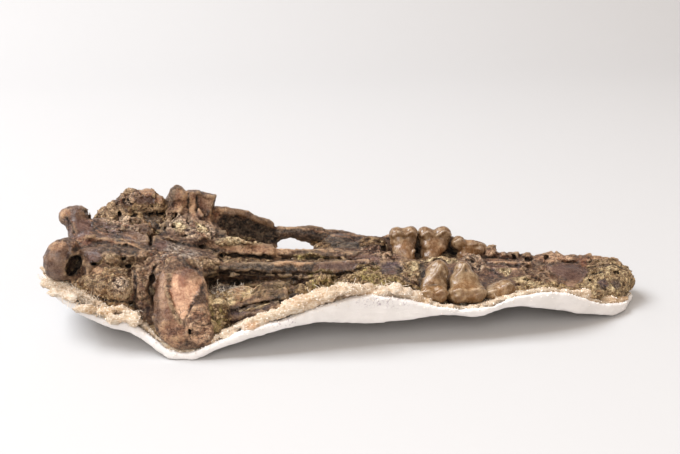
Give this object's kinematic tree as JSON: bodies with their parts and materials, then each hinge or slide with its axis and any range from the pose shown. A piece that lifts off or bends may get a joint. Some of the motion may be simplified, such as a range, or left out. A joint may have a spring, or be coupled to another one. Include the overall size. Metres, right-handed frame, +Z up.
{
  "type": "fossil skull in plaster jacket",
  "caption": "Crushed fossil skull of a large dog-like carnivore, palate up, bedded in sediment in an open burlap-lined plaster field jacket that it rests in.",
  "frame": {"origin": "on the jacket's flat underside, below the middle of the skull", "axes": "+X towards the snout, +Y towards the skull's right side, which has the whole cheek arch, +Z up"},
  "size_m": [0.405, 0.1571, 0.0757],
  "materials": {
    "plaster": "matt white plaster, slightly dusty",
    "burlap": "torn plaster-soaked burlap, cream and fibrous",
    "sediment": "crumbly brown and greenish sandy sediment",
    "bone": "mineralised bone with a thin satin consolidant",
    "enamel": "glossy stained enamel"
  },
  "bodies": {
    "root": {"plaster_jacket": "plaster", "burlap_lining": "burlap", "matrix": "sediment", "right_ear_matrix": "sediment", "skull": "bone", "left_second_molar": "enamel", "left_first_molar": "enamel", "left_carnassial": "enamel", "right_second_molar": "enamel", "right_first_molar": "enamel", "right_carnassial": "enamel"}
  },
  "joints": []
}
